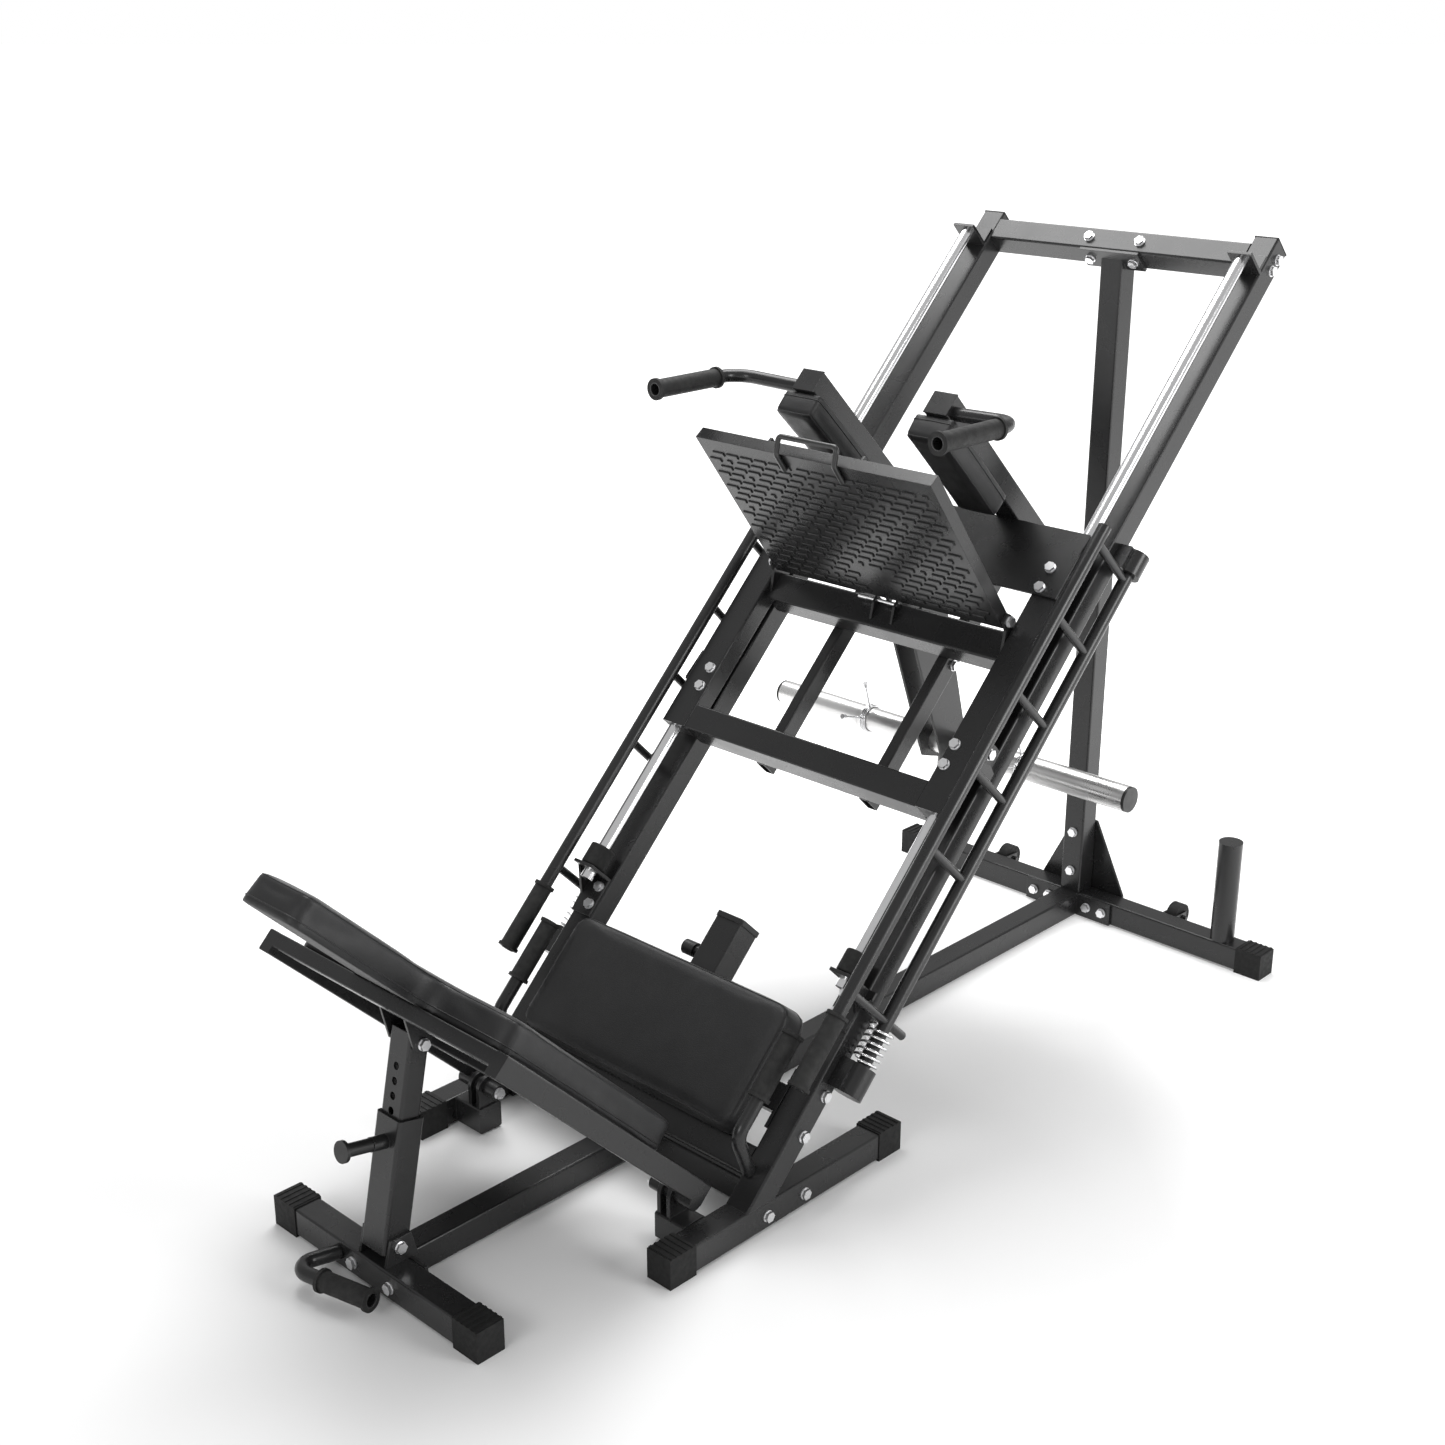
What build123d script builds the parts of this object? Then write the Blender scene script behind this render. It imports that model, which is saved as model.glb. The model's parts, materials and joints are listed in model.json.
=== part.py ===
from build123d import *
from math import atan2, cos, hypot, radians, sin
import os

# Combined leg press and hack squat machine, in millimetres, +Z up.
# The origin is on the floor, midway along the machine. +X is the right of someone seated in it,
# who faces the tower along +Y.

# ---------------------------------------------------------------- driving dimensions
rail_angle = 45              # slope of the tower rails
rail_length = 2041           # rail front face, from the floor frame's top to the upper end
rail_inner = 292             # half the clear width between the rails
tube = 50                    # outer side of the square frame tubes
tube_wall = 2.5
tube_corner = 4
lid_inset = 1.2              # welded lids in open tube ends
sole = 3.5                   # rubber below the floor tubes
front_reach = 481            # rail foot to the front stabilizer's centre line
front_half = 238             # half length of the front stabilizer tube
rear_half = 451              # half length of the rear stabilizer tube
side_front = 153             # side base tube, ahead of the rail foot
side_rear = 370              # side base tube, behind the rail foot
cap_grip = 33                # how far a rubber cap reaches over its tube
cap_end = 26                 # how far a rubber cap stands past its tube
cap_skin = 1.7
plate = 6                    # flange plates and brackets
running = 0.05               # radial clearance of running fits
weld_gap = 0.02              # keeps a rung's own solid apart from the tubes it meets
bolt_radius = 5
bolt_slack = 0.25
washer_radius = 10.5
washer_height = 2
head_height = 6.4
head_radius = 9.8            # corner to corner radius of a hexagon head
bolt_shank = 11

rod_radius = 12.5            # guide rods
rod_gap = 26                 # rod centre outboard of the rail's inner face
rod_height = 39              # rod centre above the rail's front face
rod_foot = 400               # lower end of the rods, along the rail
bumper_foot = 424
bumper_length = 43
bumper_radius = 25

member_low = 740             # carriage side members, along the rail
member_high = 1318
member_inner = rail_inner - 11
member_width = 59
member_floor = 18            # underside of the members above the rail's front face
member_depth = 42
bushing_length = 140
rib_inner = 115
rib_width = 23
rib_depth = 40
carriage_floor = -8          # underside of the carriage cross tubes

horn_u = 1001                # weight horn axis, along the rail and below its front face
horn_h = -317
horn_half = 425
horn_radius = 25
hanger_x = 22                # the horn's hanger plates, beside the middle
hanger_low = 1062            # and along the rail at their top
hanger_high = 1190
horn_free = 210              # start of the plates' part of the horn
horn_step = 0.5              # the middle and the end caps are slimmer
collar_x = 188

pad_inner = 106              # shoulder pads
pad_width = 91
pad_thickness = 48
pad_low = 141
pad_high = 378
arm_inner = 127
arm_depth = 45
arm_low = -30
arm_high = 379
handle_radius = 12.5         # hand tubes
grip_radius = 17
grip_flange = 20

footplate_half = rail_inner - 21
footplate_length = 370
footplate_hinge_u = 1112
footplate_hinge_h = 75
footplate_lean = 8.2         # tilt of the upright footplate towards the tower
footplate_sheet = 6
footplate_face = 12          # tread face ahead of the hinge axis
footplate_flange = 5
footplate_lip = 8            # tread below the hinge axis

ladder_pivot_x = rail_inner + 77   # ladder pivot tube centre
ladder_pivot_h = -50
ladder_tube_x = rail_inner + 72    # ladder grip tube centre
ladder_tube_h = 78
ladder_radius = 12.5
rung_radius = 8
rung_first = 673
rung_pitch = 157
rung_count = 5
rung_end = 393               # the long last rung
rung_stub = 58               # reach of the last rung past the pivot tube
ladder_foot = 211
ladder_top = 1333
bearing_u = 1313             # upper sleeve of the pivot tube
bearing_length = 45
cup_u = 253
cup_length = 55
cup_radius = 26
spring_low = 308
spring_turns = 6
spring_pitch = 11.6
spring_radius = 22
spring_wire = 2.4

seat_half = rail_inner - 24
seat_low = 101
seat_high = 338
seat_top = 63
seat_board = 12
support_u = 196              # centre of the tube below the seat
lower_cross_u = 81

socket_half = 30
socket_wall = 3
socket_top = 441

back_half = rail_inner - 34  # wide part of the T-shaped back pad
back_neck = 72
back_low = 158               # pad, measured square to the rails
back_shoulder = 623
back_top = 925
back_face = 65               # pad face, along the rails
back_pad = 42
back_board = 12
board_inset = 10
back_tube_x = rail_inner - 22
back_tube_width = 25
back_tube_depth = 38
back_frame_top = 645
pivot_u = -26                # backrest pivot
pivot_h = 77
pivot_radius = 14
post_top_u = -29.5           # pivot at the post's upper end
post_top_h = 541
post_foot_back = 474.2       # post's foot pivot ahead of the rail foot
post_foot_z = 83
post_sleeve_top = 212
post_sleeve_half = 30
post_sleeve_depth = 25
post_inner_half = 25
post_inner_depth = 20
post_gap = 0.3
post_pin_z = 170
post_hole_pitch = 25
post_slack = 2.4             # extra radius of the open pivot's hole

storage_x = 370
storage_radius = 25
storage_height = 222
wheel_x = 226
wheel_radius = 29
wheel_width = 24
wheel_back = 32              # wheel axle behind the rear stabilizer
wheel_z = 38

# ---------------------------------------------------------------- frames
slope = radians(rail_angle)
base_top = sole + tube
crossbar_u = rail_length - 39
socket_h = -socket_half
rear_y = crossbar_u * cos(slope) + tube / 2 * sin(slope)
rear_tip = rear_y + tube / 2 + wheel_back + wheel_radius
board_back = back_face - back_pad - back_board
front_tip = board_back * cos(slope) - (back_top - board_inset) * sin(slope)
foot_y = -(rear_tip + front_tip) / 2

# Floor frame: x across, y back from the rail foot, z up from the tubes' underside.
base = Plane(origin=(0, foot_y, sole), x_dir=(1, 0, 0), z_dir=(0, 0, 1))
# Rail frame: x across, y up along the rails, z out of the rails' front face.
rail = Plane(origin=(0, foot_y, base_top), x_dir=(1, 0, 0), z_dir=(0, -sin(slope), cos(slope)))

rail_outer = rail_inner + tube
rod_x = rail_inner + rod_gap
member_outer = member_inner + member_width
member_top = member_floor + member_depth
rib_outer = rib_inner + rib_width


def section_plane(frame, run, pairs):
    """Plane across a run along axis 0, 1 or 2 of a frame, at its low end and middle."""
    middle = [(low + high) / 2 for low, high in pairs]
    middle[run] = pairs[run][0]
    directions = [frame.x_dir, frame.y_dir, frame.z_dir]
    origin = frame.from_local_coords(tuple(middle))
    return Plane(origin, x_dir=directions[(run + 1) % 3], z_dir=directions[run])


def box_tube(frame, run, x, y, z, wall=tube_wall, corner=tube_corner):
    """Adds a rectangular tube, from its outer (low, high) pairs in a frame."""
    pairs = (x, y, z)
    length, width, height = (pairs[(run + i) % 3][1] - pairs[(run + i) % 3][0] for i in range(3))
    with BuildSketch(section_plane(frame, run, pairs)) as section:
        RectangleRounded(width, height, corner)
        RectangleRounded(width - 2 * wall, height - 2 * wall, corner - wall, mode=Mode.SUBTRACT)
    extrude(section.sketch, amount=length)


def block(frame, x, y, z, mode=Mode.ADD):
    """Adds or cuts a plain box, from its (low, high) pairs in a frame."""
    centre = tuple((low + high) / 2 for low, high in (x, y, z))
    with Locations(frame.location * Location(centre)):
        Box(x[1] - x[0], y[1] - y[0], z[1] - z[0], mode=mode)


def bar(frame, run, first, second, span, radius, bore=0, mode=Mode.ADD):
    """Adds or cuts a round bar along an axis of a frame; first and second follow that axis."""
    pairs = [None, None, None]
    pairs[run] = span
    pairs[(run + 1) % 3] = (first, first)
    pairs[(run + 2) % 3] = (second, second)
    with BuildSketch(section_plane(frame, run, pairs)) as section:
        Circle(radius)
        if bore:
            Circle(bore, mode=Mode.SUBTRACT)
    extrude(section.sketch, amount=span[1] - span[0], mode=mode)


def outline_plate(frame, x, points, rounding=0):
    """Adds a plate across X whose outline is given as (y, z) points of a frame."""
    side = Plane(frame.from_local_coords((x[0], 0, 0)), x_dir=frame.y_dir, z_dir=frame.x_dir)
    with BuildSketch(side) as outline:
        with BuildLine():
            Polyline(*points, close=True)
        make_face()
        if rounding:
            fillet(outline.vertices(), rounding)
    extrude(outline.sketch, amount=x[1] - x[0])


def bent_tube(frame, points, bend, radius, wall=2):
    """Adds a round tube along a path with rounded corners."""
    with BuildLine() as path:
        FilletPolyline(*[frame.from_local_coords(point) for point in points], radius=bend)
    with BuildSketch(path.line ^ 0) as section:
        Circle(radius)
        Circle(radius - wall, mode=Mode.SUBTRACT)
    sweep(section.sketch, path=path.line)


def grip(start, end):
    """Adds a rubber hand grip with flanged ends around a hand tube."""
    length = (end - start).length
    along = (end - start).normalized()
    across = along.cross(Vector(0, 0, 1)) if abs(along.Z) < 0.9 else Vector(1, 0, 0)
    with BuildSketch(Plane(start, x_dir=across, z_dir=along)) as section:
        Circle(grip_radius)
        Circle(handle_radius, mode=Mode.SUBTRACT)
    extrude(section.sketch, amount=length)
    for at in (0, length - 6):
        with BuildSketch(Plane(start + along * at, x_dir=across, z_dir=along)) as rim:
            Circle(grip_flange)
            Circle(handle_radius, mode=Mode.SUBTRACT)
        extrude(rim.sketch, amount=6)


def facing(frame, side, point):
    """Plane at a point of a frame, facing along "+x", "-x", "+y", "-y", "+z" or "-z"."""
    direction = {"x": frame.x_dir, "y": frame.y_dir, "z": frame.z_dir}[side[1]]
    along = frame.y_dir if side[1] == "x" else frame.x_dir
    return Plane(frame.from_local_coords(point), x_dir=along, z_dir=direction * (1 if side[0] == "+" else -1))


def both(side, frame, points):
    """Seats at points given for +X and repeated at -X."""
    seats = []
    for x, y, z in points:
        seats.append(facing(frame, side, (x, y, z)))
        seats.append(facing(frame, side.replace("+x", "-x"), (-x, y, z)))
    return seats


def hex_bolt(seat, shank=bolt_shank, radius=bolt_radius):
    """Adds a washer, a hexagon head and a shank that goes into the seat."""
    with BuildSketch(seat) as washer:
        Circle(washer_radius)
    extrude(washer.sketch, amount=washer_height)
    with BuildSketch(seat.offset(washer_height)) as head:
        RegularPolygon(head_radius, 6)
    extrude(head.sketch, amount=head_height)
    if shank:
        with BuildSketch(seat) as stem:
            Circle(radius)
        extrude(stem.sketch, amount=-shank)


def drill(seats, depth=bolt_shank + 1, radius=bolt_radius + bolt_slack):
    """Cuts the bolt holes of a list of seats."""
    for seat in seats:
        with BuildSketch(seat) as hole:
            Circle(radius)
        extrude(hole.sketch, amount=-depth, mode=Mode.SUBTRACT)


# ---------------------------------------------------------------- bolt seats
front_face = -front_reach - tube / 2
rear_face = rear_y - tube / 2 - plate
bolt_z = tube / 2
front_bolts = both("-y", base, [(48, front_face, bolt_z)])
rear_bolts = both("-y", base, [(50, rear_face, bolt_z), (90, rear_face, bolt_z)])
gusset_bolts = both("+y", base, [(64, rear_y + tube / 2 + plate, 40)])
base_cross_y = 95
base_cross_plate = 65
side_bolts = both("+x", base, [(rail_outer, base_cross_y - 46, bolt_z), (rail_outer, base_cross_y + 46, bolt_z)])
upright_bolts = [facing(base, "-y", (0, rear_y - tube / 2, z)) for z in (98, 190)]
crossbar_end_bolts = both("+x", rail, [(rail_outer, crossbar_u - 13, -30), (rail_outer, crossbar_u + 13, -30)])
crossbar_bolts = both("+z", rail, [(59, crossbar_u, 0)])
flange_bolts = both("-y", rail, [(50, crossbar_u - tube / 2 - plate, -25)])
support_bolts = both("+x", rail, [(rail_outer, support_u - 38, -33), (rail_outer, support_u + 38, -33)])
bracket_u = 341
bracket_x = rail_inner + 3
bracket_length = 82
bracket_line = rail_inner + 15
rod_bracket_bolts = both("+z", rail, [(bracket_line, bracket_u + 22, plate), (bracket_line, bracket_u + 60, plate)])
frame_seats = (front_bolts + rear_bolts + gusset_bolts + side_bolts + upright_bolts + crossbar_end_bolts
               + crossbar_bolts + flange_bolts + support_bolts + rod_bracket_bolts)

plate_low = member_high - 137
member_line = member_inner + 15
plate_seat = member_top + 5
upper_plate_bolts = both("+z", rail, [(member_line, plate_low + 14, plate_seat),
                                      (member_line, plate_low + 56, plate_seat)])
bushing_bolts = both("+z", rail, [(member_line, 827, member_top), (member_line, 868, member_top)])
catch_u = rung_first + rung_pitch + rung_radius + 0.5
catch_length = 62
catch_plate = 6
catch_bolts = both("+x", rail, [(member_outer + catch_plate, catch_u + 42, 30)])
rib_bolts = both("+x", rail, [(rib_outer, hanger_low - 14, carriage_floor - 26)])
carriage_seats = upper_plate_bolts + bushing_bolts + catch_bolts + rib_bolts

# ---------------------------------------------------------------- floor frame
with BuildPart() as front_stabilizer:
    box_tube(base, 0, (-front_half, front_half), (front_face, front_face + tube), (0, tube))
    drill(front_bolts)

with BuildPart() as rear_stabilizer:
    box_tube(base, 0, (-rear_half, rear_half), (rear_y - tube / 2, rear_y + tube / 2), (0, tube))
    drill(rear_bolts + gusset_bolts, depth=bolt_shank + plate)

with BuildPart() as base_beam:
    beam_front = front_face + tube
    box_tube(base, 1, (-tube / 2, tube / 2), (beam_front + plate, rear_face), (0, tube))
    block(base, (-75, 75), (beam_front, beam_front + plate), (0, tube))
    block(base, (-110, 110), (rear_face, rear_face + plate), (0, tube))
    drill(rear_bolts)

ear_thickness = 8
ear_x = (rail_inner - 64, rail_inner - 42)
stub_inner = rail_inner - 67
stub_y = (-98, -48)
with BuildPart() as side_bases:
    box_tube(base, 1, (rail_inner, rail_outer), (-side_front, side_rear), (0, tube))
    drill(side_bolts[::2])
    box_tube(base, 0, (stub_inner, rail_inner), stub_y, (0, tube))
    block(base, (stub_inner, stub_inner + tube_wall), (stub_y[0] + lid_inset, stub_y[1] - lid_inset),
          (lid_inset, tube - lid_inset))
    for x in ear_x:
        block(base, (x, x + ear_thickness), (stub_y[0] + 3, stub_y[1] - 3), (tube, tube + 36))
        bar(rail, 0, pivot_u, pivot_h, (x, x + ear_thickness), pivot_radius + 8)
    bar(rail, 0, pivot_u, pivot_h, (stub_inner, rail_inner), pivot_radius + running, mode=Mode.SUBTRACT)
    mirror(about=Plane.YZ)

with BuildPart() as cross_tubes:
    cross_y = (base_cross_y - tube / 2, base_cross_y + tube / 2)
    box_tube(base, 0, (tube / 2, rail_inner - plate), cross_y, (0, tube))
    plate_y = (base_cross_y - base_cross_plate, base_cross_y + base_cross_plate)
    block(base, (rail_inner - plate, rail_inner), plate_y, (0, tube))
    drill(side_bolts[::2], depth=tube + bolt_shank)
    mirror(about=Plane.YZ)
    lower_u = (lower_cross_u - tube / 2, lower_cross_u + tube / 2)
    box_tube(rail, 0, (-rail_inner, rail_inner), lower_u, (-tube, 0))
    support_half = rail_inner - plate
    box_tube(rail, 0, (-support_half, support_half), (support_u - tube / 2, support_u + tube / 2), (-tube, 0))
    for x in (-rail_inner, support_half):
        block(rail, (x, x + plate), (support_u - 55, support_u + 55), (-tube, 0))
    drill(support_bolts, depth=tube + bolt_shank)


def rubber_cap(frame, run, span, first, outward):
    """Adds a ribbed rubber cap over one end of a floor tube; first is the tube's centre line."""
    low, high = span
    inner = (low, high - cap_end) if outward > 0 else (low + cap_end, high)
    across = (first - tube / 2 - cap_skin, first + tube / 2 + cap_skin)
    hollow = (first - tube / 2, first + tube / 2)
    order = (lambda a, b: (a, b)) if run == 0 else (lambda a, b: (b, a))
    block(frame, *order(span, across), (-sole, tube + 2))
    for edge in range(5):
        at = low + 6 + edge * (high - low - 12) / 4
        block(frame, *order((at - 2.5, at + 2.5), across), (tube + 2, tube + 3.5))
    block(frame, *order(inner, hollow), (0, tube), mode=Mode.SUBTRACT)


with BuildPart() as end_caps:
    front_line = front_face + tube / 2
    rubber_cap(base, 0, (front_half - cap_grip, front_half + cap_end), front_line, 1)
    rubber_cap(base, 0, (rear_half - cap_grip, rear_half + cap_end), rear_y, 1)
    side_line = rail_inner + tube / 2
    rubber_cap(base, 1, (-side_front - cap_end, -side_front + cap_grip), side_line, -1)
    rubber_cap(base, 1, (side_rear - cap_grip, side_rear + cap_end), side_line, 1)
    block(rail, (rail_inner, rail_outer), (rail_length, rail_length + 3), (-tube, 0))
    mirror(about=Plane.YZ)

# ---------------------------------------------------------------- tower

def tower_rail(side):
    """Adds the rail at +X (side 1) or -X (side -1), cut level where it stands on the side base."""
    x = (rail_inner, rail_outer) if side > 0 else (-rail_outer, -rail_inner)
    box_tube(rail, 1, x, (-tube, rail_length), (-tube, 0))
    split(bisect_by=Plane.XY.offset(base_top), keep=Keep.TOP)
    seats = crossbar_end_bolts + support_bolts + rod_bracket_bolts
    drill(seats[::2] if side > 0 else seats[1::2])


with BuildPart() as rail_left:
    tower_rail(-1)

with BuildPart() as rail_right:
    tower_rail(1)

bar_u = (crossbar_u - tube / 2, crossbar_u + tube / 2)
with BuildPart() as top_crossbar:
    box_tube(rail, 0, (-rail_inner, rail_inner), bar_u, (-tube, 0))
    drill(crossbar_bolts + flange_bolts, depth=bolt_shank + plate)

with BuildPart() as rear_upright:
    upright_top = crossbar_u * sin(slope) - tube / 2 * cos(slope) + tube
    upright_y = (rear_y - tube / 2, rear_y + tube / 2)
    box_tube(base, 2, (-tube / 2, tube / 2), upright_y, (tube, upright_top))
    block(rail, (-tube, tube), (bar_u[0] - plate, bar_u[1]), (-tube, tube), mode=Mode.SUBTRACT)
    block(rail, (-68, 68), (bar_u[0] - plate, bar_u[0]), (-tube, 0))
    drill(flange_bolts + upright_bolts)

with BuildPart() as rear_gusset:
    gusset_back = Plane(base.from_local_coords((0, rear_y + tube / 2, 0)), x_dir=(-1, 0, 0), z_dir=(0, 1, 0))
    with BuildSketch(gusset_back) as gusset_outline:
        with BuildLine():
            Polyline((-27, 208), (27, 208), (105, 50), (105, 12), (-105, 12), (-105, 50), close=True)
        make_face()
        fillet(gusset_outline.vertices(), 6)
    extrude(amount=plate)
    drill(gusset_bolts)

with BuildPart() as guide_rods:
    rod_top = crossbar_u - 41
    bar(rail, 1, rod_height, rod_x, (rod_foot, rod_top), rod_radius)
    mirror(about=Plane.YZ)

with BuildPart() as rod_brackets:
    with BuildSketch(rail) as foot_outline:
        with BuildLine():
            Polyline((bracket_x, bracket_u), (rod_x + 23, bracket_u), (rod_x + 27, bracket_u + 58),
                     (rod_x + 42, bracket_u + 68), (rod_x + 42, bracket_u + bracket_length),
                     (bracket_x, bracket_u + bracket_length), close=True)
        make_face()
    extrude(amount=plate)
    tab_low = bracket_u + bracket_length - plate
    block(rail, (bracket_x, rod_x + 26), (tab_low, tab_low + plate), (plate, 66))
    outline_plate(rail, (rod_x + 20, rod_x + 26), [(tab_low - 40, plate), (tab_low, plate), (tab_low, 50)])
    block(rail, (bracket_x, rod_x + 27), (rod_top - plate, rod_top), (0, 58))
    block(rail, (bracket_x, rod_x + 23), (rod_top, rod_top + 34), (0, plate))
    bar(rail, 1, rod_height, rod_x, (rod_foot, rod_top), rod_radius, mode=Mode.SUBTRACT)
    drill(rod_bracket_bolts[::2])
    mirror(about=Plane.YZ)

with BuildPart() as rod_bumpers:
    bar(rail, 1, rod_height, rod_x, (bumper_foot, bumper_foot + bumper_length), bumper_radius,
        bore=rod_radius)
    fillet(rod_bumpers.edges().filter_by(GeomType.CIRCLE).sort_by(SortBy.RADIUS)[-2:], 4)
    mirror(about=Plane.YZ)

# ---------------------------------------------------------------- ladder bearings and springs
with BuildPart() as ladder_bearings:
    lug = (rail_outer, ladder_pivot_x)
    for low, length, radius in ((bearing_u, bearing_length, 22), (cup_u, cup_length, cup_radius)):
        bar(rail, 1, ladder_pivot_h, ladder_pivot_x, (low, low + length), radius)
        block(rail, lug, (low, low + length), (ladder_pivot_h - 16, -20))
    bore_span = (cup_u + 6, bearing_u + bearing_length)
    bar(rail, 1, ladder_pivot_h, ladder_pivot_x, bore_span, ladder_radius + running, mode=Mode.SUBTRACT)
    mirror(about=Plane.YZ)

with BuildPart() as ladder_springs:
    coil_foot = rail.from_local_coords((ladder_pivot_x, spring_low + 2 * spring_wire, ladder_pivot_h))
    with BuildLine() as coil:
        Helix(spring_pitch, spring_pitch * spring_turns, spring_radius, center=coil_foot, direction=rail.y_dir)
    with BuildSketch(coil.line ^ 0) as wire:
        Circle(spring_wire)
    sweep(wire.sketch, path=coil.line, is_frenet=True)
    mirror(about=Plane.YZ)

# ---------------------------------------------------------------- seat
with BuildPart() as seat_board_part:
    with BuildSketch(rail) as board_outline:
        with Locations((0, (seat_low + seat_high) / 2)):
            RectangleRounded(2 * seat_half - 24, seat_high - seat_low - 24, 30)
    extrude(amount=seat_board)

with BuildPart() as seat_pad:
    with BuildSketch(rail.offset(seat_board)) as seat_outline:
        with Locations((0, (seat_low + seat_high) / 2)):
            RectangleRounded(2 * seat_half, seat_high - seat_low, 40)
    extrude(amount=seat_top - seat_board)

seat_handle_x = rail_inner + 11
seat_handle_h = 76
seat_grip = (170, 292)
transport_points = [(-84, front_face, 28), (-104, front_face - 84, 32), (66, front_face - 48, 36)]
with BuildPart() as handle_tubes:
    for x in (-seat_handle_x, seat_handle_x):
        bent_tube(rail, [(x, 64, 0), (x, 98, seat_handle_h), (x, seat_grip[1], seat_handle_h)], 30, handle_radius)
    block(rail, (-rail_outer, rail_outer), (0, 200), (-tube, 0), mode=Mode.SUBTRACT)
    bent_tube(base, transport_points, 26, handle_radius)
    block(base, (-front_half, front_half), (front_face, front_face + tube), (0, tube), mode=Mode.SUBTRACT)

with BuildPart() as handle_grips:
    for x in (-seat_handle_x, seat_handle_x):
        grip(rail.from_local_coords((x, seat_grip[0], seat_handle_h)),
             rail.from_local_coords((x, seat_grip[1], seat_handle_h)))
    transport_corner = base.from_local_coords(transport_points[1])
    transport_end = base.from_local_coords(transport_points[2])
    transport_way = (transport_end - transport_corner).normalized()
    grip(transport_end - transport_way * 104, transport_end)

# ---------------------------------------------------------------- accessory socket
socket_low = support_u + tube / 2
socket_pin_u = 371
with BuildPart() as accessory_socket:
    socket_z = (socket_h - socket_half, socket_h + socket_half)
    box_tube(rail, 1, (-socket_half, socket_half), (socket_low, socket_top), socket_z, wall=socket_wall)
    bar(rail, 0, socket_pin_u, socket_h, (-socket_half - 22, -socket_half), 10)
    bar(rail, 0, socket_pin_u, socket_h, (-socket_half - 30, 0), 6 + running, mode=Mode.SUBTRACT)
    collar_half = socket_half + 3
    collar_z = (socket_h - collar_half, socket_h + collar_half)
    box_tube(rail, 1, (-collar_half, collar_half), (socket_top, socket_top + 10), collar_z, wall=8, corner=9)

with BuildPart() as socket_pin:
    bar(rail, 0, socket_pin_u, socket_h, (-socket_half - 50, -socket_half + 8), 6)
    bar(rail, 0, socket_pin_u, socket_h, (-socket_half - 50, -socket_half - 23), 14)

# ---------------------------------------------------------------- rear fittings
with BuildPart() as storage_posts:
    post_base = base.from_local_coords((storage_x, rear_y, tube))
    with BuildSketch(Plane(post_base)) as post_ring:
        Circle(storage_radius)
        Circle(storage_radius - tube_wall, mode=Mode.SUBTRACT)
    extrude(amount=storage_height)
    with BuildSketch(Plane(post_base).offset(storage_height - 4)) as post_lid:
        Circle(storage_radius - tube_wall)
    extrude(amount=4)
    mirror(about=Plane.YZ)

axle_y = rear_y + tube / 2 + wheel_back
axle_z = wheel_z - sole
with BuildPart() as wheel_brackets:
    for x in (wheel_x - wheel_width / 2 - 5, wheel_x + wheel_width / 2 + 1):
        outline_plate(base, (x, x + 4), [(rear_y + tube / 2, 8), (axle_y + 10, axle_z - 12),
                                          (axle_y + 10, axle_z + 12), (rear_y + tube / 2, tube - 2)])
    bar(base, 0, axle_y, axle_z, (wheel_x - wheel_width, wheel_x + wheel_width), 5)
    mirror(about=Plane.YZ)


def transport_wheel(x):
    """Adds a small wheel that turns on its axle."""
    bar(base, 0, axle_y, axle_z, (x - wheel_width / 2, x + wheel_width / 2), wheel_radius, bore=5 + running)


with BuildPart() as wheel_left:
    transport_wheel(-wheel_x)

with BuildPart() as wheel_right:
    transport_wheel(wheel_x)

# ---------------------------------------------------------------- carriage
member_u = (member_low, member_high)
member_x = (member_inner, member_outer)
with BuildPart() as carriage_members:
    box_tube(rail, 1, member_x, member_u, (member_floor, member_top), wall=3)
    drill(upper_plate_bolts[::2] + bushing_bolts[::2] + catch_bolts[::2])
    mirror(about=Plane.YZ)

with BuildPart() as rod_bushings:
    inner_x = (member_inner + 3, member_outer - 3)
    inner_h = (member_floor + 3, member_top - 3)
    for low in (member_low, member_high - bushing_length):
        block(rail, inner_x, (low, low + bushing_length), inner_h)
    rounded = rod_bushings.edges().filter_by(Axis(origin=(0, 0, 0), direction=rail.y_dir))
    fillet(rounded, tube_corner - 3 + 0.5)
    bar(rail, 1, rod_height, rod_x, member_u, rod_radius + running, mode=Mode.SUBTRACT)
    drill(upper_plate_bolts[::2] + bushing_bolts[::2] + catch_bolts[::2])
    mirror(about=Plane.YZ)

cross_x = (-member_inner, member_inner)
with BuildPart() as upper_plate:
    block(rail, (-member_outer + 4, member_outer - 4), (plate_low, member_high), (member_top, member_top + 5))
    drill(upper_plate_bolts)

with BuildPart() as carriage_cross_tubes:
    for low, high, top in ((member_low, member_low + 52, member_top - 2), (1047, 1107, 45),
                           (member_high - tube, member_high, member_top)):
        box_tube(rail, 0, cross_x, (low, high), (carriage_floor, top))

with BuildPart() as carriage_ribs:
    box_tube(rail, 1, (rib_inner, rib_outer), member_u, (carriage_floor - rib_depth, carriage_floor))
    drill(rib_bolts[::2])
    mirror(about=Plane.YZ)

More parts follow.
